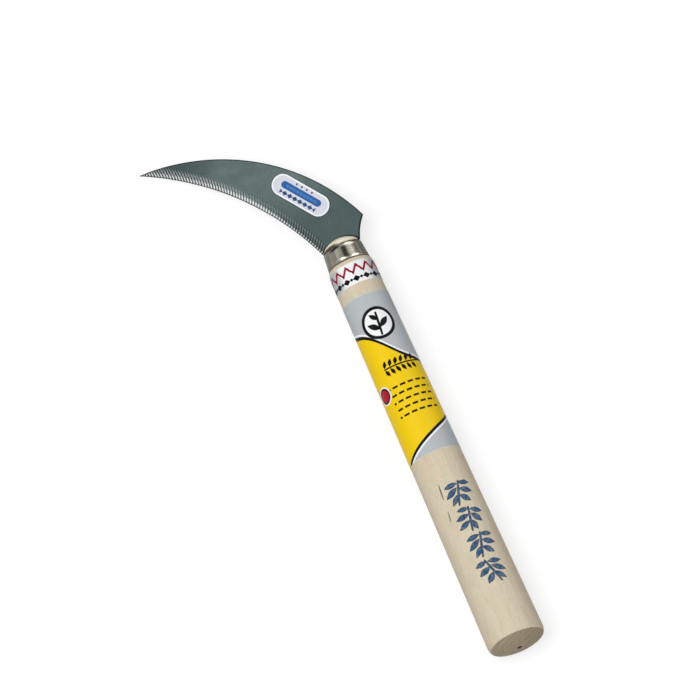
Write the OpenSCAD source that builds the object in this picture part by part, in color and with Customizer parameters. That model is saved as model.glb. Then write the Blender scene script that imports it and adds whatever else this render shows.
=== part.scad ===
// Hand sickle with a saw-toothed, curved steel blade on a turned wooden handle.
// Millimetres. The origin is the middle of the handle's butt end, +X runs along the handle to the
// blade, +Y is the side that the blade curves to, and +Z is up as the tool lies on a bench.

/* [Handle] */
// Length of the wood, from the butt to the crest of its front dome
handle_len = 250.5; // [180:0.5:360]
// Diameter of the wood at the butt, its thickest place
butt_d = 32.2; // [26:0.1:40]
// Diameter of the wood where its front shoulder starts
front_d = 26; // [22:0.1:30]
// Radius of the shallow crown that the butt end is sanded to
butt_crown_r = 42; // [30:1:80]
// How far the crown leans up from square to the handle
butt_lean = 5.5; // [0:0.5:8]
// Radius of the turned rounding between the butt end and the side
butt_round = 6.5; // [2:0.5:8]
// Diameter of the lathe centre hole in the butt
centre_hole_d = 2.8; // [1.5:0.1:6]
// Depth of the lathe centre hole
centre_hole_depth = 6; // [3:0.5:20]
// How far the wood's dome stands out of the ferrule
nose_h = 5.6; // [4.8:0.1:9]
// Radius of the large arc over the front dome
nose_crown_r = 15; // [14:0.5:40]
// Radius of the rounding between the front dome's arc and its side
nose_round = 2; // [1:0.1:3]

/* [Ferrule] */
// Length of the ferrule along the handle
ferrule_len = 10.6; // [7:0.1:20]
// Outer diameter at the ferrule's back end
ferrule_back_d = 24.2; // [21:0.1:25.5]
// Outer diameter at the ferrule's front end
ferrule_front_d = 22.6; // [20:0.1:24]
// Thickness of the ferrule's sheet metal
ferrule_wall = 0.8; // [0.5:0.1:1]
// Outer radius of the lip that turns in at the front
ferrule_lip_r = 1.2; // [1.1:0.1:1.6]

/* [Blade] */
// How far the blade's tip is ahead of the wood's dome
tip_ahead = 86.9; // [60:0.1:100]
// How far the blade's tip is to the side of the handle
tip_side = 88.2; // [70:0.1:110]
// Thickness of the steel
blade_t = 1.2; // [0.8:0.1:2]
// Radius of the spine's curve
spine_r = 127.5; // [120:0.5:150]
// How far the heel corner is ahead of the blade's shoulder
heel_ahead = 12; // [8:0.1:18]
// How far the heel corner is to the side, away from the tip
heel_side = 18.3; // [16:0.1:24]
// Radius of the hollow between the heel corner and the shoulder
neck_r = 31; // [20:1:50]
// Distance from the handle's middle to the hollow's end at the shoulder
neck_side = 11.2; // [9:0.1:13]
// Distance from the handle's middle to the cutting edge's end at the shoulder
edge_side = 10.8; // [8.5:0.1:13]
// Radius of the cutting edge's curve
edge_r = 179; // [130:1:260]
// Width of the chamfers along the spine
spine_chamfer = 0.3; // [0.1:0.05:0.4]
// How far the blade is turned about the handle, so that the tip touches the bench
blade_roll = 10.3; // [0:0.1:15]

/* [Teeth] */
// Distance between teeth, along the edge
tooth_pitch = 1.76; // [1.2:0.02:3]
// Length of the plain point ahead of the first tooth
plain_point_len = 3; // [3:0.5:20]
// Length of the plain edge behind the last tooth
plain_heel_len = 1.5; // [1:0.5:20]
// Width of the bevel behind the teeth
bevel_w = 4.5; // [3:0.1:6]
// Steel that the bevel would leave at the cutting edge, without the edge bevel
edge_land = 0.42; // [0.3:0.02:0.6]
// Width of the steeper edge bevel, which gives each tooth a small facet
edge_bevel_w = 1; // [0.4:0.1:2]
// Steel left under the edge bevel at the cutting edge
tooth_land = 0.2; // [0.1:0.02:0.28]
// How far each groove cuts through the underside at the edge
tooth_through = 0.12; // [0.05:0.01:0.2]
// How far each groove reaches onto the plate, square to the edge
groove_reach = 6.1; // [5:0.1:7.5]
// Slant of the groove nearest the tip, from square to the edge
groove_slant_tip = 39; // [0:1:45]
// Slant of the groove nearest the handle, from square to the edge
groove_slant_heel = 22; // [0:1:45]
// Part of the groove spacing that stays uncut as a flat between two grooves
tooth_crest = 0.1; // [0.05:0.01:0.4]

/* [Tang] */
// Length of the tang inside the wood
tang_len = 60; // [40:1:90]
// Width of the tang at the shoulder
tang_front_w = 16; // [10:0.5:17]
// Width of the tang at its end
tang_back_w = 9; // [6:0.5:12]
// Diameter of the pin through the wood and the tang
pin_d = 2.4; // [1.6:0.1:4]
// Distance from the blade's shoulder back to the pin
pin_back = 20; // [15:0.5:30]

/* [Labels] */
// Thickness of the labels and the sticker
paper_t = 0.15; // [0.1:0.05:0.3]
// Width of the gap between a label's two ends, under the handle
seam_gap = 2; // [1:0.5:6]
// Length of the narrow label along the handle
band_label_len = 12.5; // [8:0.5:20]
// Bare wood between the ferrule and the narrow label
band_label_gap = 2.8; // [1:0.1:10]
// Length of the large label along the handle
grip_label_len = 97.3; // [40:1:110]
// Bare wood between the two labels
grip_label_gap = 7.3; // [2:0.1:20]
// Length of the blade's sticker
sticker_len = 37; // [20:1:45]
// Width of the blade's sticker
sticker_w = 12.3; // [6:0.1:14]
// How far the sticker's middle is ahead of the blade's shoulder
sticker_ahead = 38.2; // [34:0.1:42]
// How far the sticker's middle is to the side of the handle
sticker_side = 9; // [7:0.1:12]
// Direction of the sticker's long side, from the handle's line
sticker_turn = 34; // [30:0.5:45]

/* [Clearances] */
// Gap between the ferrule and the wood it sits on
ferrule_gap = 0.03; // [0.01:0.01:0.1]
// Gap between the blade's shoulder and the ferrule
shoulder_gap = 0.3; // [0.1:0.1:1]
// Gap around the tang and the blade in the slot of the wood
slot_gap = 0.05; // [0.02:0.01:0.2]
// Gap around the pin
pin_gap = 0.02; // [0.01:0.01:0.1]
// Space left in the wood behind the end of the tang
tang_end_gap = 2; // [0.5:0.5:5]

/* [Hidden] */
$fn = 96;
past = 1;            // how far a cut runs past what it cuts
butt_r = butt_d / 2;
front_r = front_d / 2;
ferrule_front = handle_len - nose_h;
ferrule_back = ferrule_front - ferrule_len;
shoulder_x = ferrule_front + shoulder_gap;
pin_x = shoulder_x - pin_back;
half_t = blade_t / 2;

// Butt end: the crown's lowest point, which is where the turned blank starts.
butt_low_x = butt_crown_r * (cos(butt_lean) - 1);
rim_x = butt_low_x + butt_round;

// Front end: the wood rounds down to the ferrule on an arc about the handle's middle line.
shoulder_drop = ferrule_back_d / 2;
shoulder_start = ferrule_back - sqrt(front_r * front_r - shoulder_drop * shoulder_drop);

// The front dome's small rounding circle: its middle's distance from the handle's middle line, its
// middle's place along the handle, and where the dome's large arc meets it.
nose_r = ferrule_front_d / 2 - ferrule_lip_r - ferrule_gap;
nose_rim_y = nose_r - nose_round;
nose_rim_x = handle_len - nose_crown_r + sqrt(pow(nose_crown_r - nose_round, 2) - pow(nose_rim_y, 2));
nose_meet_y = nose_rim_y * nose_crown_r / (nose_crown_r - nose_round);

band_end = ferrule_back - band_label_gap;
grip_end = band_end - band_label_len - grip_label_gap;

// Where two circles cross. The side is 1 or -1, for the left or right of the line from a to b.
function crossing(a, ra, b, rb, side) =
    let (d = b - a)
    let (gap = norm(d))
    let (along = (ra * ra - rb * rb + gap * gap) / (2 * gap))
    let (across = sqrt(ra * ra - along * along))
    a + d / gap * along + [-d[1], d[0]] / gap * across * side;

// The blade's outline is bounded by three circles: spine, cutting edge and neck hollow.
tip = [handle_len + tip_ahead, tip_side];
heel = [shoulder_x + heel_ahead, -heel_side];
neck_end = [shoulder_x, -neck_side];
edge_end = [shoulder_x, edge_side];
spine_c = crossing(tip, spine_r, heel, spine_r, -1);
edge_c = crossing(tip, edge_r, edge_end, edge_r, -1);
neck_c = crossing(heel, neck_r, neck_end, neck_r, 1);

// Teeth run along the cutting edge from the tip to the shoulder.
tip_angle = atan2(tip[1] - edge_c[1], tip[0] - edge_c[0]);
end_angle = atan2(edge_end[1] - edge_c[1], edge_end[0] - edge_c[0]);
degrees_per_mm = 180 / PI / edge_r;
tooth_angle = tooth_pitch * degrees_per_mm;
first_angle = tip_angle - plain_point_len * degrees_per_mm;
tooth_count = 1 + floor((first_angle - end_angle - plain_heel_len * degrees_per_mm) / tooth_angle);
bevel_z = edge_land - half_t;
groove_z = -half_t - tooth_through;

// The handle's outline on one side of its middle line: [distance from the line, place along it].
// The labels use it too, with their own thickness added.
module body_profile(extra) {
    polygon([
        [0, butt_low_x],
        [butt_r + extra, butt_low_x],
        [butt_r + extra, rim_x],
        [front_r + extra, shoulder_start],
        [0, shoulder_start]
    ]);
    intersection() {
        translate([0, shoulder_start]) circle(front_r + extra);
        translate([0, shoulder_start]) square([butt_r, ferrule_back - shoulder_start]);
    }
}

// What the rounding takes off the outline at the butt's rim.
module butt_corner() {
    difference() {
        translate([butt_r - butt_round, butt_low_x - past]) square(butt_round + past);
        translate([butt_r - butt_round, rim_x]) circle(butt_round);
    }
}

// The shape that the ferrule is pressed on, and the dome that stands out of it.
module nose_profile() {
    seat_back = ferrule_back_d / 2 - ferrule_wall - ferrule_gap;
    seat_front = ferrule_front_d / 2 - ferrule_wall - ferrule_gap;
    seat_end = ferrule_front - ferrule_lip_r;
    polygon([
        [0, shoulder_start],
        [seat_back, shoulder_start],
        [seat_back, ferrule_back],
        [seat_front, seat_end],
        [nose_r, seat_end],
        [nose_r, nose_rim_x],
        [0, nose_rim_x]
    ]);
    translate([nose_rim_y, nose_rim_x]) circle(nose_round);
    intersection() {
        translate([0, handle_len - nose_crown_r]) circle(nose_crown_r);
        translate([0, nose_rim_x]) square([nose_meet_y, handle_len - nose_rim_x]);
    }
}

module turn() {
    rotate([0, 90, 0]) rotate_extrude() children();
}

module blade_plane() {
    rotate([-blade_roll, 0, 0]) children();
}

// The tang tapers back from the shoulder. Its root runs on into the plate, so that the two are one.
module tang_outline(extra) {
    front_side = tang_front_w / 2 + extra;
    back_side = tang_back_w / 2 + extra;
    back = shoulder_x - tang_len - extra;
    polygon([
        [shoulder_x + past, front_side],
        [shoulder_x, front_side],
        [back, back_side],
        [back, -back_side],
        [shoulder_x, -front_side],
        [shoulder_x + past, -front_side]
    ]);
}

module pin_bar(r) {
    translate([pin_x, 0, -butt_r]) cylinder(r = r, h = butt_d);
}

// What the sanding takes off the butt end, down to a crown that passes through the origin.
module butt_waste() {
    difference() {
        translate([-butt_r, -butt_r - past, -butt_r - past])
            cube([butt_d, butt_d + 2 * past, butt_d + 2 * past]);
        rotate([0, butt_lean, 0]) translate([butt_crown_r, 0, 0]) sphere(butt_crown_r);
    }
}

module handle() {
    slot_t = blade_t + 2 * slot_gap;
    color("burlywood") difference() {
        turn() difference() {
            union() {
                body_profile(0);
                nose_profile();
            }
            butt_corner();
        }
        butt_waste();
        translate([-past, 0, 0]) rotate([0, 90, 0])
            cylinder(d = centre_hole_d, h = centre_hole_depth + past);
        blade_plane() {
            translate([ferrule_front, -butt_r, -slot_t / 2])
                cube([nose_h + past, butt_d, slot_t]);
            translate([0, 0, -slot_t / 2]) linear_extrude(slot_t) {
                tang_outline(slot_gap);
                translate([shoulder_x - tang_len - tang_end_gap, -tang_back_w / 2])
                    square([tang_end_gap, tang_back_w]);
            }
            pin_bar(pin_d / 2 + pin_gap);
        }
    }
}

// A tapered tube of sheet metal, rolled at the back and turned in at the front.
module ferrule() {
    back_r = ferrule_back_d / 2;
    lip_y = ferrule_front_d / 2 - ferrule_lip_r;
    lip_x = ferrule_front - ferrule_lip_r;
    roll_r = ferrule_wall / 2;
    color("gainsboro") turn() {
        polygon([
            [back_r - ferrule_wall, ferrule_back + roll_r],
            [back_r, ferrule_back + roll_r],
            [ferrule_front_d / 2, lip_x],
            [ferrule_front_d / 2 - ferrule_wall, lip_x]
        ]);
        translate([back_r - roll_r, ferrule_back + roll_r]) circle(roll_r);
        intersection() {
            difference() {
                translate([lip_y, lip_x]) circle(ferrule_lip_r);
                translate([lip_y, lip_x]) circle(ferrule_lip_r - ferrule_wall);
            }
            translate([lip_y, lip_x]) square(ferrule_lip_r);
        }
    }
}

module spine_disc() {
    side_h = blade_t - 2 * spine_chamfer;
    small_r = spine_r - spine_chamfer;
    translate([spine_c[0], spine_c[1], -half_t]) {
        cylinder(r1 = small_r, r2 = spine_r, h = spine_chamfer);
        translate([0, 0, spine_chamfer]) cylinder(r = spine_r, h = side_h);
        translate([0, 0, spine_chamfer + side_h])
            cylinder(r1 = spine_r, r2 = small_r, h = spine_chamfer);
    }
}

// What a bevel takes off the upper face, from its height at the edge to where it reaches a width.
module bevel_cone(edge_z, width, height) {
    grow = 1 + past / height;
    translate([edge_c[0], edge_c[1], edge_z])
        cylinder(r1 = edge_r, r2 = edge_r + width * grow, h = height * grow);
}

// The full-thickness plate, with two bevels ground on its upper face along the cutting edge.
module ground_plate() {
    bevel_h = half_t - bevel_z;
    edge_bevel_z = tooth_land - half_t;
    edge_bevel_h = bevel_z + bevel_h * edge_bevel_w / bevel_w - edge_bevel_z;
    difference() {
        spine_disc();
        translate([edge_c[0], edge_c[1], -half_t - past]) cylinder(r = edge_r, h = blade_t + 2 * past);
        bevel_cone(bevel_z, bevel_w, bevel_h);
        bevel_cone(edge_bevel_z, edge_bevel_w, edge_bevel_h);
        translate([neck_c[0], neck_c[1], -half_t - past]) cylinder(r = neck_r, h = blade_t + 2 * past);
        translate([shoulder_x - 2 * spine_r, -2 * spine_r, -half_t - past])
            cube([2 * spine_r, 4 * spine_r, blade_t + 2 * past]);
    }
}

// One tooth gap: a straight V that enters at the edge, below the plate, and runs out on top.
module groove(i) {
    share = i / (tooth_count - 1);
    at = first_angle - i * tooth_angle;
    slant = groove_slant_tip + share * (groove_slant_heel - groove_slant_tip);
    start = edge_c + edge_r * [cos(at), sin(at)];
    groove_len = groove_reach / cos(slant);
    slope = atan((half_t - groove_z) / groove_len);
    half_w = tooth_pitch * cos(slant) * (1 - tooth_crest) / 2;
    deep = bevel_z - groove_z;
    tall = blade_t + 2 * past;
    translate([start[0], start[1], groove_z]) rotate([0, -slope, at + slant])
        translate([-2 * past, 0, 0]) rotate([90, 0, 90])
            linear_extrude(groove_len + 3 * past)
                polygon([[0, 0], [half_w * tall / deep, tall], [-half_w * tall / deep, tall]]);
}

module blade() {
    color("slategray") blade_plane() difference() {
        union() {
            ground_plate();
            translate([0, 0, -half_t]) linear_extrude(blade_t) tang_outline(0);
        }
        for (i = [0 : tooth_count - 1]) groove(i);
        pin_bar(pin_d / 2 + pin_gap);
    }
}

// A headless pin, cut flush with the wood and covered by the narrow label.
module tang_pin() {
    color("silver") intersection() {
        blade_plane() pin_bar(pin_d / 2);
        turn() body_profile(0);
    }
}

module wrap(back, length) {
    difference() {
        turn() intersection() {
            difference() {
                body_profile(paper_t);
                body_profile(0);
            }
            translate([0, back]) square([butt_d, length]);
        }
        translate([back - past, -seam_gap / 2, -butt_d]) cube([length + 2 * past, seam_gap, butt_d]);
    }
}

module band_label() {
    color("white") wrap(band_end - band_label_len, band_label_len);
}

module grip_label() {
    color("gold") wrap(grip_end - grip_label_len, grip_label_len);
}

module blade_sticker() {
    end_r = sticker_w / 2;
    reach = sticker_len / 2 - end_r;
    color("lavender") blade_plane()
        translate([shoulder_x + sticker_ahead, sticker_side, half_t])
            rotate([0, 0, sticker_turn]) linear_extrude(paper_t) {
                square([2 * reach, sticker_w], center = true);
                translate([reach, 0]) circle(end_r);
                translate([-reach, 0]) circle(end_r);
            }
}

handle();
ferrule();
blade();
tang_pin();
band_label();
grip_label();
blade_sticker();
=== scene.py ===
"""Looks, light and camera for the hand sickle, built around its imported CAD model."""

from math import cos, pi, radians, sin, tan

import bpy
from mathutils import Matrix, Vector


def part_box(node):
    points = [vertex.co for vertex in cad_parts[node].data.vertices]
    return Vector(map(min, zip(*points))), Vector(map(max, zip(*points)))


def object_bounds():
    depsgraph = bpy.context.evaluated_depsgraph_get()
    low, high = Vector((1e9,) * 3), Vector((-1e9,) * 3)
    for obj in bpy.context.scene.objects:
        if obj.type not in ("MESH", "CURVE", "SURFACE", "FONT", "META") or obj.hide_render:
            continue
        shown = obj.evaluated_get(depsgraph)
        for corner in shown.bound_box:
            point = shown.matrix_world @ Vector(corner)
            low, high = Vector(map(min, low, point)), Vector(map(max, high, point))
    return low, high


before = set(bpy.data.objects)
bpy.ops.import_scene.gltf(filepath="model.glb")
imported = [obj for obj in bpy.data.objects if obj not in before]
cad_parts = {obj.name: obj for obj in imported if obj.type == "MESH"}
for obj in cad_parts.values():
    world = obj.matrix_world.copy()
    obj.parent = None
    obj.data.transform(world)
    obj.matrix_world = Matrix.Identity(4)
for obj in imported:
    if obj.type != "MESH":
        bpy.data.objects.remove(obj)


def box_of_everything():
    """The corners of all that is shown, as plain lists."""
    return [list(corner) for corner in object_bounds()]


cad_box = box_of_everything()

# ---------------------------------------------------------------- places and sizes

MM = 0.001
LOW, HIGH = (Vector(corner) for corner in cad_box)


def span_mm(node, axis):
    """Where a CAD node starts and ends along an axis, in millimetres."""
    low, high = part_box(node)
    return low[axis] / MM, high[axis] / MM


def middle_mm(node):
    low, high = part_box(node)
    return (low + high) / 2 / MM


WOOD_END = span_mm("handle", 0)[1]
FERRULE_BACK, FERRULE_FRONT = span_mm("ferrule", 0)
BAND_BACK, BAND_FRONT = span_mm("band_label", 0)
GRIP_BACK, GRIP_FRONT = span_mm("grip_label", 0)

# The blade's own plane and curves, as in the CAD source.
BLADE_ROLL = radians(10.3)
STICKER_TURN = radians(34)
STICKER_LENGTH = 37.0
STICKER_WIDTH = 12.3
TIP_TURN = radians(-30.33)
EDGE_CENTRE = (182.9, 178.6)
EDGE_RADIUS = 179.0
SPINE_CENTRE = (210.5, 100.3)
SPINE_RADIUS = 127.5
NECK_CENTRE = (235.8, -40.8)
NECK_RADIUS = 31.0
DOME_CENTRE = (WOOD_END - 15.0, 0.0)
DOME_RADIUS = 15.0
DOME_HALF_WIDTH = 9.3
DOME_RIM_CENTRE = (WOOD_END - 4.8, 8.07)
DOME_RIM_RADIUS = 2.0


# ---------------------------------------------------------------- shader arithmetic


def srgb(red, green, blue):
    """A screen colour, 0 to 255 a channel, as the linear colour that a shader takes."""
    def linear(channel):
        c = channel / 255
        return c / 12.92 if c <= 0.04045 else ((c + 0.055) / 1.055) ** 2.4
    return (linear(red), linear(green), linear(blue), 1.0)


class Field:
    """A value that varies over a surface. Python's operators on it add shader nodes."""

    def __init__(self, shader, socket):
        self.shader = shader
        self.socket = socket

    def __add__(self, other):
        return self.shader.math("ADD", self, other)

    def __sub__(self, other):
        return self.shader.math("SUBTRACT", self, other)

    def __rsub__(self, other):
        return self.shader.math("SUBTRACT", other, self)

    def __mul__(self, other):
        return self.shader.math("MULTIPLY", self, other)

    def __truediv__(self, other):
        return self.shader.math("DIVIDE", self, other)

    def __neg__(self):
        return self.shader.math("MULTIPLY", self, -1.0)

    def __abs__(self):
        return self.shader.math("ABSOLUTE", self)

    __radd__ = __add__
    __rmul__ = __mul__


class Shader:
    """One procedural material. Its x, y and z are the place on the object, in millimetres."""

    def __init__(self, name):
        self.material = bpy.data.materials.new(name)
        self.material.use_nodes = True
        self.tree = self.material.node_tree
        self.tree.nodes.clear()
        self.surface = self.add("ShaderNodeBsdfPrincipled")
        output = self.add("ShaderNodeOutputMaterial")
        self.tree.links.new(self.surface.outputs[0], output.inputs[0])
        place = self.add("ShaderNodeTexCoord")
        self.x, self.y, self.z = (part * (1 / MM) for part in self.split(place.outputs["Object"]))
        self.facing = self.split(place.outputs["Normal"])

    def add(self, kind, **settings):
        node = self.tree.nodes.new(kind)
        for name, value in settings.items():
            setattr(node, name, value)
        return node

    def feed(self, socket, value):
        if isinstance(value, Field):
            self.tree.links.new(value.socket, socket)
        else:
            socket.default_value = value

    def set(self, **values):
        """Sets or links the surface's own sockets, with _ for a space in their names."""
        for name, value in values.items():
            self.feed(self.surface.inputs[name.replace("_", " ")], value)

    def split(self, socket):
        parts = self.add("ShaderNodeSeparateXYZ")
        self.tree.links.new(socket, parts.inputs[0])
        return [Field(self, out) for out in parts.outputs]

    def math(self, operation, *values, clamp=False):
        node = self.add("ShaderNodeMath", operation=operation, use_clamp=clamp)
        for socket, value in zip(node.inputs, values):
            self.feed(socket, value)
        return Field(self, node.outputs[0])

    def least(self, *values):
        total = values[0]
        for value in values[1:]:
            total = self.math("MINIMUM", total, value)
        return total

    def most(self, *values):
        total = values[0]
        for value in values[1:]:
            total = self.math("MAXIMUM", total, value)
        return total

    def hypot(self, a, b):
        """Length of the slanting side over two sides at right angles."""
        return self.math("SQRT", a * a + b * b)

    def ramp(self, value, start, end):
        """0 where value is at start, 1 where it is at end, and smooth between."""
        node = self.add("ShaderNodeMapRange", interpolation_type="SMOOTHSTEP")
        for socket, number in zip(node.inputs, (value, start, end, 0.0, 1.0)):
            self.feed(socket, number)
        return Field(self, node.outputs[0])

    def inside(self, distance, soft=0.12):
        """1 where a signed distance is under zero, 0 outside, soft by that many millimetres."""
        return self.ramp(distance, soft, -soft)

    def noise(self, x, y, z, detail=3.0, roughness=0.55):
        """Cloudy variation, about 0.5 on average, with one bump for each unit of x, y and z."""
        place = self.add("ShaderNodeCombineXYZ")
        for socket, value in zip(place.inputs, (x, y, z)):
            self.feed(socket, value)
        node = self.add("ShaderNodeTexNoise")
        self.tree.links.new(place.outputs[0], node.inputs["Vector"])
        node.inputs["Scale"].default_value = 1.0
        node.inputs["Detail"].default_value = detail
        node.inputs["Roughness"].default_value = roughness
        return Field(self, node.outputs["Fac"])

    def mix(self, under, over, share):
        """Two colours mixed, with that share of the second."""
        node = self.add("ShaderNodeMix", data_type="RGBA")
        self.feed(node.inputs[0], share)
        self.feed(node.inputs[6], under)
        self.feed(node.inputs[7], over)
        return Field(self, node.outputs[2])

    def bump(self, height, strength=1.0):
        """Small relief from a height in millimetres."""
        node = self.add("ShaderNodeBump")
        node.inputs["Strength"].default_value = strength
        node.inputs["Distance"].default_value = MM
        self.feed(node.inputs["Height"], height)
        self.tree.links.new(node.outputs[0], self.surface.inputs["Normal"])

    def repeat(self, value, pitch):
        """Place within a row that repeats, from the middle of each step."""
        return self.math("FLOORED_MODULO", value, pitch) - pitch / 2

    def around(self):
        """Distance round the handle from its top, positive on the blade tip's side."""
        return self.math("ARCTAN2", self.y, self.z) * self.hypot(self.y, self.z)

    def on_blade(self):
        """Place in the blade's own plane: along the handle, and to the side."""
        return self.x, self.y * cos(BLADE_ROLL) - self.z * sin(BLADE_ROLL)

    def stroke(self, u, v, start, end, width, belly=0.0):
        """Signed distance to a brush stroke. It is widest in the middle, by the belly's share."""
        along = (end[0] - start[0], end[1] - start[1])
        length2 = along[0] ** 2 + along[1] ** 2
        du = u - start[0]
        dv = v - start[1]
        share = self.math("DIVIDE", du * along[0] + dv * along[1], length2, clamp=True)
        gap = self.hypot(du - share * along[0], dv - share * along[1])
        swell = self.math("SINE", share * pi)
        return gap - (swell * belly + (1 - belly)) * (width / 2)

    def ring(self, u, v, centre, radius, width):
        """Signed distance to a round line of that width."""
        return abs(self.hypot(u - centre[0], v - centre[1]) - radius) - width / 2

    def disc(self, u, v, centre, radius):
        """Signed distance to a disc's rim, under zero inside it."""
        return self.hypot(u - centre[0], v - centre[1]) - radius

    def zigzag(self, u, v, period, height, width):
        """Signed distance to an up-and-down line along u."""
        wave = self.math("PINGPONG", u, period / 2) * (2 * height / (period / 2)) - height
        return abs(v - wave) - width / 2


def dress(node, shader):
    """Gives a CAD node its material."""
    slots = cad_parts[node].material_slots
    for slot in slots:
        slot.material = shader.material
    if not slots:
        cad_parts[node].data.materials.append(shader.material)


# ---------------------------------------------------------------- materials

WOOD_LIGHT = srgb(209, 199, 175)
WOOD_DARK = srgb(188, 175, 149)
WOOD_PINK = srgb(212, 187, 165)
WOOD_GREEN = srgb(184, 184, 158)
WOOD_END_GRAIN = srgb(184, 167, 140)
WOOD_NOSE_PAINTED_LIGHT = srgb(240, 229, 205)
# A dark brown for pores, specks, end rings and handling dirt, and for painted shade behind the
# ferrule.
WOOD_DIRT_AND_SHADE = srgb(96, 82, 60)
WOOD_SHADE = srgb(44, 36, 26)
HOLE_PAINTED_SHADE = srgb(58, 46, 32)
INK_BLUE = srgb(16, 80, 124)
INK_DEEP = srgb(0, 32, 66)
PENCIL = srgb(52, 50, 48)
INK_BLACK = srgb(9, 9, 11)
LABEL_YELLOW = srgb(236, 199, 14)
LABEL_SILVER = srgb(178, 183, 186)
LABEL_RED = srgb(168, 26, 42)
BAND_RED = srgb(140, 8, 40)
LABEL_WHITE = srgb(236, 237, 238)
STICKER_WHITE = srgb(206, 208, 217)
STICKER_GREY = srgb(196, 198, 210)
STICKER_RIM = srgb(232, 235, 240)
STICKER_BLUE = srgb(18, 82, 150)
STICKER_PALE = srgb(60, 122, 188)
STICKER_DEEP = srgb(16, 62, 112)
STEEL_DARK = srgb(72, 86, 85)
STEEL_LIGHT = srgb(90, 103, 103)
STEEL_WARM = srgb(86, 88, 88)
STEEL_DARKER_ENDS = srgb(51, 64, 63)
STEEL_GROUND_HIGHLIGHT = srgb(238, 242, 241)
STEEL_GRIT_AND_SHADE = srgb(14, 18, 18)
STEEL_EDGE_SHADE = srgb(20, 27, 28)
NICKEL = srgb(132, 129, 120)
NICKEL_WARM = srgb(176, 166, 146)
NICKEL_GRIME = srgb(120, 112, 96)
WIRE_DARK = srgb(150, 150, 150)
WIRE_LIGHT = srgb(186, 186, 184)

# The wood: where the tree's middle lay, from the handle's line, and the width of a year's growth.
PITH_SIDE = -27.0
PITH_UP = -34.0
GROWTH_WIDTH = 3.1
CENTRE_HOLE_RADIUS = 1.7
CENTRE_HOLE_END = 8.0

# The ink stamp on the wood: four leaf marks in a column along the handle.
STAMP_BACK = 33.0
STAMP_PITCH = 15.6
STAMP_COUNT = 4
STAMP_SIDE = -3.8
LEAF_BELLY = 0.85
LEAVES = [  # start, end, width: across the handle and along it, from the mark's middle
    ((-0.2, 5.6), (-7.4, 4.0), 3.1),
    ((0.6, 6.0), (7.2, 5.2), 2.9),
    ((-0.8, 3.0), (-7.0, -1.8), 3.5),
    ((0.8, 2.4), (7.8, 0.0), 3.4),
    ((-0.4, -0.8), (-4.4, -6.4), 3.1),
    ((0.4, -1.2), (6.0, -5.4), 3.4),
]
STEM = ((0.8, 6.8), (-1.0, -6.8), 1.5)
STEM_BELLY = 0.3
PENCIL_LINES = [  # start, end, width: along the handle and round it
    ((95.9, 4.6), (87.3, 5.4), 0.8),
    ((80.3, 5.9), (74.7, 6.6), 0.6),
]

# The ferrule: how far its rounded ends seem to reach, and how steeply they fall.
CURL_FRONT = 3.0
CURL_BACK = 2.6
CURL_FALL = 0.13

# The blade: how far the flutes reach from the edge, and the distances along the edge from the
# tip at which their contrast of painted highlight and painted shade, their painted glints' length
# and the tip's darkening start and are full. The heel is darker too, between two places along the
# handle's line.
FLUTE_END = 7.5
FLUTE_FADE = (84, 38)
GLINT_FADE = (105, 60)
TIP_FADE = (60, 16)
HEEL_FADE = (300, 262)

# The narrow label: a zigzag, and a row of diamonds with a dot between each two.
BAND_PITCH = 6.0
ZIGZAG_PLACE = 2.1
ZIGZAG_HEIGHT = 2.1
ZIGZAG_WIDTH = 2.1
DIAMOND_PLACE = -3.5
DOT_PLACE = -3.4
DOT_RADIUS = 0.8

# The large label. Places are from its middle: round the handle, and along it.
BORDER_WIDTH = 1.6
BORDER_WHITE = 1.1
BORDER_GAP = 1.3
SPRIG_RING = (1.5, 30.5)
SPRIG_RING_RADIUS = 8.6
SPRIG_RING_WIDTH = 1.8
SPRIG = [  # start, end, width, belly
    ((1.0, 23.6), (2.2, 36.4), 1.4, 0.2),
    ((1.4, 26.6), (-4.6, 31.0), 3.3, 0.85),
    ((1.8, 27.8), (7.2, 32.4), 3.3, 0.85),
    ((2.0, 32.0), (-1.8, 36.2), 2.6, 0.85),
]
EAR_PLACE = (3.0, 4.4)
EAR_PITCH = 3.2
EAR_REACH = 9.6
DASH_ROWS = 4.2
DASH_PITCH = 4.6
DASH_STEP = 2.3
DASH_MIDDLE = (3.0, -15.0)
DASH_REACH = (12.0, 10.6)
BERRY = (-13.4, -8.0)
BERRY_DISCS = [(5.2, LABEL_WHITE), (4.4, INK_BLACK), (3.5, LABEL_RED)]

# The sticker: a bar with a row of grains in it, a row of seeds and a row of buds.
BAR_PLACE = 0.8
BAR_REACH = 11.2
BAR_WIDTH = 4.0
GRAIN_PITCH = 2.3
SEED_PITCH = 3.4
SEED_PLACE = -3.4
BUD_PLACE = 4.2
BUD_RADIUS = 0.6


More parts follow.
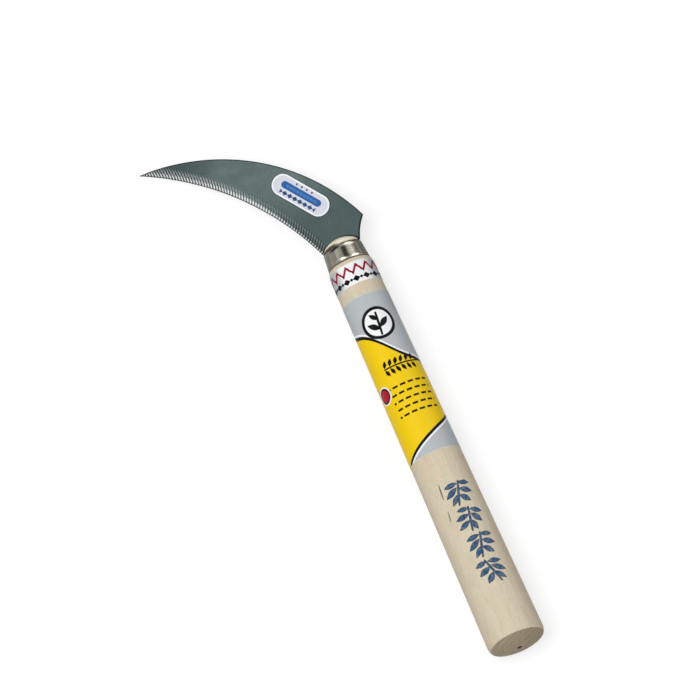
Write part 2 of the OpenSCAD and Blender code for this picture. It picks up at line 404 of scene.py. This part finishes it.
def stamp_mask(s):
    """How much blue ink lies on the wood, and where it's deepest: it gathers at a mark's rim."""
    rough = s.noise(s.x * 1.5, s.around() * 1.5, 3.0, 4.0, 0.65) - 0.5
    across = STAMP_SIDE - s.around()
    along = s.x - STAMP_BACK

    # Every second mark is mirrored, and each leans its own way.
    cell = s.math("FLOOR", along / STAMP_PITCH)
    flip = s.math("PINGPONG", cell, 1.0) * 2 - 1
    lean = s.math("SINE", cell * 2.1 + 0.6) * 0.35
    v = s.repeat(along, STAMP_PITCH)
    u = across * flip
    u, v = u - v * lean + rough * 0.9, v + u * lean * 0.5 + rough * 0.9
    marks = s.least(*[s.stroke(u, v, a, b, width, LEAF_BELLY) for a, b, width in LEAVES])
    marks = s.least(marks, s.stroke(u, v, *STEM, STEM_BELLY))
    half = STAMP_COUNT * STAMP_PITCH / 2
    ends = abs(along - half) - half
    printed = s.inside(s.most(marks, ends, -s.z), 0.22)
    fade = s.ramp(s.noise(s.x * 0.45, s.around() * 0.7, 7.0, 5.0, 0.7), 0.36, 0.56)
    pool = s.ramp(s.noise(s.x * 0.5, s.around() * 0.5, 17.0, 4.0, 0.65), 0.44, 0.6)
    gathered = s.ramp(marks, -0.65, -0.25)
    ink = printed * (0.8 + s.most(fade, gathered) * 0.19)
    return ink, s.most(pool * 0.7, gathered * 0.9)


def pencil_mask(s):
    around = s.around()
    lines = s.least(*[s.stroke(s.x, around, a, b, width, 0.5) for a, b, width in PENCIL_LINES])
    return s.inside(s.most(lines, -s.z), 0.2)


def hole_shade_mask(s):
    """The lathe's centre hole in the butt, painted dark as painted shade."""
    hole = s.inside(s.hypot(s.y, s.z) - CENTRE_HOLE_RADIUS, 0.15)
    return hole * s.ramp(s.x, CENTRE_HOLE_END + 1, CENTRE_HOLE_END)


def wood_ends(s, colour, growth, fibre, grain):
    """End grain on the butt, paler round its hole, and painted light on the nose before the
    ferrule.
    """
    on_butt = s.ramp(-s.facing[0], 0.5, 0.8)
    end_rings = s.ramp(growth, 0.2, 0.9) * 0.5 + s.ramp(fibre, 0.35, 0.65) * 0.25
    end_rings = end_rings + s.ramp(s.y, 6, -13) * 0.3 + s.ramp(grain, 0.5, 0.7) * 0.2
    colour = s.mix(colour, s.mix(WOOD_END_GRAIN, WOOD_DIRT_AND_SHADE, end_rings * 0.42), on_butt * 0.9)
    near_hole = s.ramp(s.hypot(s.y, s.z), 3.0, 1.8) * s.ramp(s.x, 4, 3)
    colour = s.mix(colour, WOOD_LIGHT, near_hole * 0.5)
    # The nose in front of the ferrule is painted pale cream: painted light.
    on_nose = s.ramp(s.x, FERRULE_FRONT - 0.5, FERRULE_FRONT + 1.5)
    return s.mix(colour, WOOD_NOSE_PAINTED_LIGHT, on_nose * 0.95)


def ferrule_painted_shade(s, colour):
    """Painted shade against both ends of the ferrule, at the front on the blade tip's side only.
    """
    # A dark line painted on the wood behind the ferrule: painted shade.
    behind = s.ramp(s.x, FERRULE_BACK - 0.9, FERRULE_BACK - 0.2)
    behind = behind * s.ramp(s.x, FERRULE_FRONT, FERRULE_BACK)
    colour = s.mix(colour, WOOD_DIRT_AND_SHADE, behind * 0.85)
    # A dark line painted on the wood in front of the ferrule: painted shade.
    before = s.ramp(s.x, FERRULE_FRONT + 1.6, FERRULE_FRONT + 0.9) * s.ramp(s.y, 0, 4)
    before = before * s.ramp(s.x, FERRULE_FRONT - 1.0, FERRULE_FRONT - 0.5)
    return s.mix(colour, WOOD_SHADE, before * 0.9)


def wood():
    s = Shader("pale_turned_wood")
    warp = s.noise(s.x / 60, s.y / 14, s.z / 14, 2.0) - 0.5
    rings = s.hypot(s.y - PITH_SIDE + warp * 9, s.z - PITH_UP + warp * 7)
    growth = s.math("FLOORED_MODULO", rings, GROWTH_WIDTH) / GROWTH_WIDTH
    late_wood = s.ramp(growth, 0.35, 0.95) * s.ramp(growth, 1.0, 0.93)
    fibre = s.noise(s.x / 9, s.y * 1.7, s.z * 1.7, 4.0, 0.6)
    pores = s.ramp(s.noise(s.x / 2.6, s.y * 4.5, s.z * 4.5, 2.0), 0.66, 0.74)
    tone = s.noise(s.x / 34, s.y / 11, s.z / 11, 2.0)
    blotch = s.noise(s.x / 3.4, s.around() / 2.2, 13.0, 3.0, 0.6)
    grain = s.noise(s.x / 1.5, s.y, s.z, 2.0, 0.6)

    colour = s.mix(WOOD_LIGHT, WOOD_DARK, late_wood * 0.2 + s.ramp(fibre, 0.42, 0.72) * 0.25)
    colour = s.mix(colour, WOOD_DARK, s.ramp(grain, 0.5, 0.72) * 0.35)
    pink = s.ramp(tone, 0.45, 0.68) * 0.4 + s.ramp(blotch, 0.5, 0.68) * 0.55
    colour = s.mix(colour, WOOD_PINK, pink)
    colour = s.mix(colour, WOOD_GREEN, s.ramp(blotch, 0.48, 0.3) * 0.5)
    colour = s.mix(colour, WOOD_DIRT_AND_SHADE, pores * 0.16)
    colour = wood_ends(s, colour, growth, fibre, grain)
    # Painted shade along both ends of the ferrule.
    colour = ferrule_painted_shade(s, colour)

    specks = s.ramp(s.noise(s.x / 1.4, s.y / 1.1, s.z / 1.1, 1.0), 0.735, 0.765)
    colour = s.mix(colour, WOOD_DIRT_AND_SHADE, specks * s.ramp(tone, 0.5, 0.6) * 0.5)
    handled = s.ramp(s.noise(s.x / 22, s.around() / 9, 1.0, 4.0), 0.5, 0.75)
    colour = s.mix(colour, WOOD_DIRT_AND_SHADE, handled * 0.07)

    ink, deep = stamp_mask(s)
    colour = s.mix(colour, s.mix(INK_BLUE, INK_DEEP, deep), ink)
    colour = s.mix(colour, PENCIL, pencil_mask(s) * 0.85)
    # The centre hole is painted dark: painted shade in the recess.
    colour = s.mix(colour, HOLE_PAINTED_SHADE, hole_shade_mask(s) * 0.9)

    s.set(Base_Color=colour, Roughness=0.52 + fibre * 0.14 - ink * 0.08)
    s.surface.inputs["Specular IOR Level"].default_value = 0.15
    s.bump(fibre * 0.05 - pores * 0.03 - late_wood * 0.02 + s.noise(s.x, s.y * 3, s.z * 3) * 0.02)
    return s


def nickel():
    s = Shader("nickel_plate")
    turned = s.noise(s.x * 5, s.around() / 30, 0.0, 3.0)
    dull = s.noise(s.x / 3, s.around() / 4, 5.0, 4.0)
    marks = s.ramp(s.noise(s.x * 1.1, s.around() / 1.6, 9.0, 5.0, 0.7), 0.6, 0.72)
    grime = s.ramp(s.x, FERRULE_BACK + 1.1, FERRULE_BACK + 0.2)
    colour = s.mix(NICKEL, NICKEL_WARM, s.ramp(dull, 0.45, 0.75) * 0.35)
    colour = s.mix(colour, NICKEL_GRIME, grime * 0.35 + marks * 0.08)
    s.set(Base_Color=colour, Roughness=0.15 + dull * 0.1 + marks * 0.05 + grime * 0.12)
    s.surface.inputs["Metallic"].default_value = 1.0
    curl = s.most(s.x - FERRULE_FRONT + CURL_FRONT, FERRULE_BACK + CURL_BACK - s.x, 0.0)
    s.bump(turned * 0.008 + dull * 0.012 - curl * curl * CURL_FALL)
    return s


def sticker_place(s):
    """Place on the sticker, from its middle: along its length, and across it towards the spine."""
    x, y = s.on_blade()
    centre = middle_mm("blade_sticker")
    dx = x - centre.x
    dy = y - (centre.y * cos(BLADE_ROLL) - centre.z * sin(BLADE_ROLL))
    return (dx * -cos(STICKER_TURN) - dy * sin(STICKER_TURN),
            dx * sin(STICKER_TURN) - dy * cos(STICKER_TURN))


def sticker_distance(s):
    """Signed distance to the sticker's outline."""
    u, v = sticker_place(s)
    reach = (STICKER_LENGTH - STICKER_WIDTH) / 2
    return s.stroke(u, v, (-reach, 0), (reach, 0), STICKER_WIDTH)


def flute_highlight_and_shade(s, from_edge, from_tip):
    """How bright and how dark the flutes are: one face is ground steel with a painted highlight,
    one is painted dark as painted shade.

    They tell most near the tip, beside the very edge, and at the flutes' upper ends. What marks
    a flute is its slope.
    """
    flat = s.facing[1] * sin(BLADE_ROLL) + s.facing[2] * cos(BLADE_ROLL)
    across = s.facing[1] * cos(BLADE_ROLL) - s.facing[2] * sin(BLADE_ROLL)
    lean = across * 0.95 + s.facing[0] * 0.3
    fluted = s.ramp(abs(flat), 0.998, 0.985) * s.ramp(from_edge, FLUTE_END, FLUTE_END - 0.7)
    near_tip = s.ramp(from_tip, *FLUTE_FADE)
    glint_end = s.ramp(from_tip, *GLINT_FADE) * 1.8 + 1.5
    glint = s.ramp(from_edge / glint_end, 1.0, 0.5)
    upper = s.ramp(from_edge, 3.0, 4.8)
    fine = s.ramp(lean, 0.02, 0.26)
    bright = s.most(
        near_tip * 0.72 * fine,
        glint * s.ramp(lean, -0.02, 0.16),
        (upper * 0.16 + 0.1) * fine,
    ) * fluted
    dark = s.most(near_tip * 0.85, upper * 0.35 + 0.15) * fluted * s.ramp(lean, -0.05, -0.3)
    return bright, dark


def blade_shade_lines(s, x, y, from_edge):
    """Painted shade in dark lines: the cut outline, the outermost edge, against the wood, round
    the sticker.
    """
    outline = s.least(
        SPINE_RADIUS - s.disc(x, y, SPINE_CENTRE, 0),
        s.disc(x, y, NECK_CENTRE, NECK_RADIUS),
    )
    wood_gap = s.least(
        s.most(s.disc(x, y, DOME_CENTRE, DOME_RADIUS), abs(y) - DOME_HALF_WIDTH),
        s.disc(x, abs(y), DOME_RIM_CENTRE, DOME_RIM_RADIUS),
    )
    rim = s.most(s.ramp(outline, 0.95, 0.35), s.ramp(from_edge, 0.85, 0.45))
    return s.most(
        rim * 0.9,
        s.ramp(wood_gap, 1.5, 0.4),
        s.ramp(sticker_distance(s), 0.8, 0.2) * 0.5,
    )


def steel():
    s = Shader("blade_steel")
    x, y = s.on_blade()
    from_edge = s.hypot(x - EDGE_CENTRE[0], y - EDGE_CENTRE[1]) - EDGE_RADIUS
    turn = s.math("ARCTAN2", y - EDGE_CENTRE[1], x - EDGE_CENTRE[0])
    from_tip = (TIP_TURN - turn) * EDGE_RADIUS
    rolled = s.noise(from_tip / 12, from_edge * 2.2, 0.0, 4.0, 0.6)
    mottle = s.noise(x / 7, y / 7, 2.0, 4.0, 0.6)
    patches = s.noise(x / 26, y / 20, 4.0, 2.0)
    scuffs = s.ramp(s.noise(from_tip / 3.5, from_edge * 5, 8.0, 2.0), 0.64, 0.72)
    warm = s.noise(x / 8, y / 6, 12.0, 3.0, 0.65)
    grit = s.noise(x * 1.1, y * 1.1, 21.0, 3.0, 0.7)

    colour = s.mix(STEEL_DARK, STEEL_LIGHT, s.ramp(mottle * 0.5 + patches * 0.5, 0.3, 0.75))
    colour = s.mix(colour, STEEL_LIGHT, s.ramp(rolled, 0.5, 0.75) * 0.25 + scuffs * 0.2)
    colour = s.mix(colour, STEEL_WARM, s.ramp(warm, 0.5, 0.7) * 0.5)
    # The blade is painted darker towards the heel and towards the tip.
    darker_ends = s.most(s.ramp(x, *HEEL_FADE) * 0.68, s.ramp(from_tip, *TIP_FADE) * 0.85)
    colour = s.mix(colour, STEEL_DARKER_ENDS, darker_ends)
    colour = s.mix(colour, STEEL_GRIT_AND_SHADE, s.ramp(grit, 0.5, 0.72) * 0.16)
    colour = s.mix(colour, STEEL_WARM, s.ramp(grit, 0.48, 0.3) * 0.32)

    # The flutes: one face painted bright as a painted highlight on ground steel, the other painted
    # dark as painted shade.
    bright, dark = flute_highlight_and_shade(s, from_edge, from_tip)
    colour = s.mix(colour, STEEL_GROUND_HIGHLIGHT, bright)
    colour = s.mix(colour, STEEL_GRIT_AND_SHADE, dark)
    # Painted shade along the blade's outline, its edge, the wood and the sticker.
    colour = s.mix(colour, STEEL_EDGE_SHADE, blade_shade_lines(s, x, y, from_edge))

    s.set(Base_Color=colour)
    # Where the flutes are painted bright, the steel is also made smoother and less metallic.
    s.set(Roughness=0.42 + mottle * 0.1 - bright * 0.1 - scuffs * 0.06, Metallic=1 - bright * 0.6)
    s.bump(rolled * 0.012 + mottle * 0.01)
    return s


def wire_steel():
    s = Shader("pin_wire")
    drawn = s.noise(s.x * 4, s.y * 4, s.z / 6)
    s.set(Base_Color=s.mix(WIRE_DARK, WIRE_LIGHT, drawn), Roughness=0.3 + drawn * 0.15)
    s.surface.inputs["Metallic"].default_value = 1.0
    s.bump(drawn * 0.01)
    return s


def print_on_paper(s, colour, worn_edges):
    """What all printed paper here shares: fine relief, dulled and whitened edges, gloss."""
    relief = s.noise(s.x * 2.2, s.around() * 2.2, 0.0, 3.0)
    wrinkle = s.noise(s.x / 9, s.around() / 14, 4.0, 2.0)
    scuff = s.ramp(s.noise(s.x * 0.8, s.around() * 0.8, 6.0, 5.0, 0.7), 0.62, 0.7)
    colour = s.mix(colour, LABEL_WHITE, worn_edges * 0.55 + scuff * 0.05)
    s.set(Base_Color=colour, Roughness=0.3 + relief * 0.12 + worn_edges * 0.2)
    s.surface.inputs["Specular IOR Level"].default_value = 0.08
    s.bump(relief * 0.006 + wrinkle * 0.06)


def edge_wear(s, back, front):
    """White paper showing along a label's two cut edges."""
    ragged = s.noise(s.around() * 0.9, s.x, 11.0, 3.0) * 0.5
    return s.inside(s.least(s.x - back, front - s.x) - 0.05 - ragged * 0.4, 0.12)


def band_paper():
    s = Shader("band_label_paper")
    u = -s.around()
    v = s.x - (BAND_BACK + BAND_FRONT) / 2
    wobble = (s.noise(s.x / 2, u / 2, 2.0) - 0.5) * 0.9
    red = s.zigzag(u + wobble, v - ZIGZAG_PLACE + wobble, BAND_PITCH, ZIGZAG_HEIGHT, ZIGZAG_WIDTH)
    diamond = abs(s.repeat(u + 2.4, BAND_PITCH)) * 0.8 + abs(v - DIAMOND_PLACE) - 1.8
    dot = s.disc(s.repeat(u + 5.4, BAND_PITCH), v - DOT_PLACE, (0, 0), DOT_RADIUS)
    # Silver paper, painted white along the top of the handle as a painted highlight and silver
    # down the sides.
    colour = s.mix(LABEL_WHITE, LABEL_SILVER, s.ramp(abs(u - 1), 6.5, 12))
    colour = s.mix(colour, BAND_RED, s.inside(red))
    colour = s.mix(colour, INK_BLACK, s.inside(s.least(diamond, dot)))
    print_on_paper(s, colour, edge_wear(s, BAND_BACK, BAND_FRONT))
    return s


def wheat_ear(s, u, v):
    """Signed distance to an ear of wheat that lies along u: a stalk with grains on both sides."""
    grains = s.stroke(s.repeat(u, EAR_PITCH), abs(v), (-0.7, 0.9), (0.7, 4.2), 2.1, 0.7)
    stalk = s.stroke(u, v, (-9, 0), (14, 0), 0.9, 0.1)
    return s.least(s.most(grains, u - EAR_REACH, -u - EAR_REACH), stalk)


def grip_paper():
    s = Shader("grip_label_paper")
    u = -s.around()
    v = s.x - (GRIP_BACK + GRIP_FRONT) / 2

    # A yellow field between two silver ones, with slanting borders of a white and a black line.
    front = -((v - 17 + u * 0.75 + s.math("SINE", u * 0.2) * 2.2) * 0.78)
    back = (v + 40 - u * 0.5) * 0.9
    colour = LABEL_YELLOW
    for border in (front, back):
        colour = s.mix(colour, LABEL_SILVER, s.inside(border))
        colour = s.mix(colour, LABEL_WHITE, s.inside(abs(border + BORDER_GAP) - BORDER_WHITE / 2))
        colour = s.mix(colour, INK_BLACK, s.inside(abs(border) - BORDER_WIDTH / 2))

    # A sprig in a ring.
    ring = s.ring(u, v, SPRIG_RING, SPRIG_RING_RADIUS, SPRIG_RING_WIDTH)
    sprig = s.least(*[s.stroke(u, v, *stroke) for stroke in SPRIG])
    field = s.disc(u, v, SPRIG_RING, SPRIG_RING_RADIUS + 0.6)
    colour = s.mix(colour, LABEL_WHITE, s.inside(field))
    colour = s.mix(colour, INK_BLACK, s.inside(s.least(ring, sprig)))

    # An ear of wheat, rows of dashes, and a red berry with a dark rim.
    ear = wheat_ear(s, u - EAR_PLACE[0], v - EAR_PLACE[1])
    row = s.repeat(v + 30, DASH_ROWS)
    dash = s.repeat(u + s.math("FLOOR", (v + 30) / DASH_ROWS) * DASH_STEP, DASH_PITCH)
    dashes = s.most(
        abs(row) - 0.6,
        abs(dash) - 1.6,
        abs(v - DASH_MIDDLE[1]) - DASH_REACH[1],
        abs(u - DASH_MIDDLE[0]) - DASH_REACH[0],
    )
    colour = s.mix(colour, INK_BLACK, s.inside(s.least(ear, dashes)))
    for radius, print_colour in BERRY_DISCS:
        colour = s.mix(colour, print_colour, s.inside(s.disc(u, v, BERRY, radius)))
    print_on_paper(s, colour, edge_wear(s, GRIP_BACK, GRIP_FRONT))
    return s


def sticker_film():
    s = Shader("sticker_film")
    u, v = sticker_place(s)
    bar = s.stroke(u, v, (-BAR_REACH, BAR_PLACE), (BAR_REACH, BAR_PLACE), BAR_WIDTH)
    grain = (u - s.math("ROUND", u / GRAIN_PITCH) * GRAIN_PITCH) * 0.7
    grains = s.most(s.disc(grain, v - BAR_PLACE, (0, 0), 0.75), abs(u) - 10.4)
    cell = s.repeat(u, SEED_PITCH)
    seeds = s.most(abs(cell) * 0.75 + abs(v - SEED_PLACE) - 1.35, abs(u) - 11.9)
    buds = s.most(s.disc(cell, v - BUD_PLACE, (0, 0), BUD_RADIUS), abs(u) - 6.8)
    pale = s.noise(u / 3, v / 3, 1.0, 4.0)
    colour = s.mix(STICKER_WHITE, STICKER_GREY, s.ramp(pale, 0.4, 0.7) * 0.5)
    colour = s.mix(colour, STICKER_RIM, s.ramp(sticker_distance(s), -1.1, -0.7))
    blue = s.mix(STICKER_BLUE, STICKER_PALE, s.inside(grains) * 0.8)
    colour = s.mix(colour, blue, s.inside(bar))
    colour = s.mix(colour, STICKER_DEEP, s.inside(s.least(seeds, buds)))
    s.set(Base_Color=colour, Roughness=0.34 + pale * 0.1)
    s.surface.inputs["Specular IOR Level"].default_value = 0.25
    s.bump(pale * 0.02)
    return s


dress("handle", wood())
dress("ferrule", nickel())
dress("blade", steel())
dress("tang_pin", wire_steel())
dress("band_label", band_paper())
dress("grip_label", grip_paper())
dress("blade_sticker", sticker_film())

# ---------------------------------------------------------------- floor, light and camera

FLOOR_SIZE = 8.0
FLOOR_GAP = 0.0001
FLOOR_GREY = 0.3
FLOOR_LIFT = 0.72
SKY_LEVEL = 0.55

CAMERA_TILT = radians(17.62)
CAMERA_TURN = radians(23.88)
CAMERA_DISTANCE = 2.7183
CAMERA_LENS = 257.4
CAMERA_AIM = Vector((0.0214, -0.0157, 0.0001))  # from the middle of the object's box

# Cards that give the polished metal its dark and bright bands: name, the angles round the handle
# between which each stands, and how bright it is.
FLAGS = [
    ("card_right", -95, -66, 0.5),
    ("card_bright_right", -56, -28, 2.0),
    ("card_middle", -20, 8, 0.06),
    ("card_bright_left", 30, 50, 1.6),
]
FLAG_DISTANCE = 1.2
FLAG_AHEAD = 0.75
FLAG_LENGTH = 1.3

# Smaller cards for the ferrule's rounded ends and its sides: name, place from the ferrule's
# middle, size and brightness. The low ones lie just over the floor.
SPOTS = [
    ("card_front", (0.82, -0.53, 0.2), (0.9, 0.7), 4.0),
    ("card_front_left", (0.8, 0.5, 0.15), (0.9, 0.8), 0.05),
    ("card_back", (-0.26, -0.72, 0.6), (0.6, 0.6), 7.0),
    ("card_low_right", (0.04, -0.087, -0.0155), (0.15, 0.15), 0.4),
    ("card_low_left", (0.04, 0.087, -0.0155), (0.15, 0.15), 0.7),
]


def seen_or_mirrored(tree):
    """1 on rays that show the background directly, in a mirror or through glass, else 0."""
    path = tree.nodes.new("ShaderNodeLightPath")
    total = path.outputs["Is Camera Ray"]
    for name in ("Is Glossy Ray", "Is Transmission Ray"):
        both = tree.nodes.new("ShaderNodeMath")
        both.operation = "MAXIMUM"
        tree.links.new(total, both.inputs[0])
        tree.links.new(path.outputs[name], both.inputs[1])
        total = both.outputs[0]
    return total


def add_floor():
    """A pale floor that keeps the shadow and is lifted to white where it is seen."""
    bpy.ops.mesh.primitive_plane_add(size=FLOOR_SIZE, location=(0, 0, LOW.z - FLOOR_GAP))
    floor = bpy.context.object
    floor.name = "floor"
    material = bpy.data.materials.new("pale_floor")
    material.use_nodes = True
    tree = material.node_tree
    surface = tree.nodes["Principled BSDF"]
    surface.inputs["Base Color"].default_value = (FLOOR_GREY, FLOOR_GREY, FLOOR_GREY, 1)
    surface.inputs["Roughness"].default_value = 0.9
    surface.inputs["Specular IOR Level"].default_value = 0.1
    surface.inputs["Emission Color"].default_value = (1, 1, 1, 1)
    lift = tree.nodes.new("ShaderNodeMath")
    lift.operation = "MULTIPLY"
    lift.inputs[1].default_value = FLOOR_LIFT
    tree.links.new(seen_or_mirrored(tree), lift.inputs[0])
    tree.links.new(lift.outputs[0], surface.inputs["Emission Strength"])
    floor.data.materials.append(material)


def add_world():
    """Soft even light from all round, and a white background."""
    world = bpy.data.worlds.new("studio")
    world.use_nodes = True
    bpy.context.scene.world = world
    tree = world.node_tree
    background = tree.nodes["Background"]
    background.inputs["Color"].default_value = (1, 1, 1, 1)
    strength = tree.nodes.new("ShaderNodeMapRange")
    strength.inputs["To Min"].default_value = SKY_LEVEL
    tree.links.new(seen_or_mirrored(tree), strength.inputs["Value"])
    tree.links.new(strength.outputs[0], background.inputs["Strength"])


ALONG = Vector((1, 0, 0))
UP = Vector((0, 0, 1))


def over_handle(angle, distance, ahead):
    """A place round the handle's line, at an angle from straight up to the blade tip's side."""
    a = radians(angle)
    return Vector((ahead, distance * sin(a), distance * cos(a)))


def facing(place, target, along):
    """A lamp's or card's turn and place: it faces the target, and one side runs along a line."""
    back = (place - target).normalized()
    across = back.cross(along).normalized()
    turned = Matrix((across.cross(back), across, back)).transposed().to_4x4()
    return Matrix.Translation(place) @ turned


def add_lamp(name, angle, distance, ahead, size, watts):
    lamp = bpy.data.lights.new(name, "AREA")
    lamp.shape = "RECTANGLE"
    lamp.size, lamp.size_y = size
    lamp.energy = watts
    thing = bpy.data.objects.new(name, lamp)
    bpy.context.scene.collection.objects.link(thing)
    thing.matrix_world = facing(over_handle(angle, distance, ahead), Vector((ahead, 0, 0)), ALONG)


def add_card(name, matrix, size, level):
    """A plain card of an even brightness, which only shiny surfaces see."""
    bpy.ops.mesh.primitive_plane_add(size=1)
    card = bpy.context.object
    card.name = name
    card.matrix_world = matrix @ Matrix.Diagonal((*size, 1, 1))
    material = bpy.data.materials.new(name + "_face")
    material.use_nodes = True
    surface = material.node_tree.nodes["Principled BSDF"]
    surface.inputs["Base Color"].default_value = (0, 0, 0, 1)
    surface.inputs["Specular IOR Level"].default_value = 0
    surface.inputs["Emission Color"].default_value = (1, 1, 1, 1)
    surface.inputs["Emission Strength"].default_value = level
    card.data.materials.append(material)
    card.visible_camera = False
    card.visible_diffuse = False
    card.visible_shadow = False


def add_flag(name, start, end, level):
    """A long card between two angles round the handle."""
    width = 2 * FLAG_DISTANCE * tan(radians(end - start) / 2)
    place = over_handle((start + end) / 2, FLAG_DISTANCE, FLAG_AHEAD)
    add_card(name, facing(place, Vector((FLAG_AHEAD, 0, 0)), ALONG), (FLAG_LENGTH, width), level)


def add_spot(name, offset, size, level):
    """A small card that faces the ferrule, or lies flat and faces up if it is low."""
    ferrule = middle_mm("ferrule") * MM
    place = ferrule + Vector(offset)
    if offset[2] > 0:
        matrix = facing(place, ferrule, UP)
    else:
        matrix = facing(place, place - UP, ALONG)
    add_card(name, matrix, size, level)


def add_camera():
    """A long lens above the butt end, turned so that the handle runs down to the right."""
    target = (LOW + HIGH) / 2 + CAMERA_AIM
    look = Vector((sin(CAMERA_TILT), 0, -cos(CAMERA_TILT)))
    ahead = (ALONG - look * look.dot(ALONG)).normalized()
    side = look.cross(ahead)
    right = cos(CAMERA_TURN) * side - sin(CAMERA_TURN) * ahead
    up = sin(CAMERA_TURN) * side + cos(CAMERA_TURN) * ahead
    lens = bpy.data.cameras.new("camera")
    lens.sensor_width = 36
    lens.lens = CAMERA_LENS
    lens.clip_end = 50
    camera = bpy.data.objects.new("camera", lens)
    bpy.context.scene.collection.objects.link(camera)
    turned = Matrix((right, up, -look)).transposed().to_4x4()
    camera.matrix_world = Matrix.Translation(target - look * CAMERA_DISTANCE) @ turned
    bpy.context.scene.camera = camera


add_floor()
add_world()
add_lamp("key_softbox", angle=16, distance=1.6, ahead=0.1, size=(0.9, 0.9), watts=15)
for name, start, end, level in FLAGS:
    add_flag(name, start, end, level)
for name, offset, size, level in SPOTS:
    add_spot(name, offset, size, level)
add_camera()
bpy.context.scene.view_settings.view_transform = "Standard"
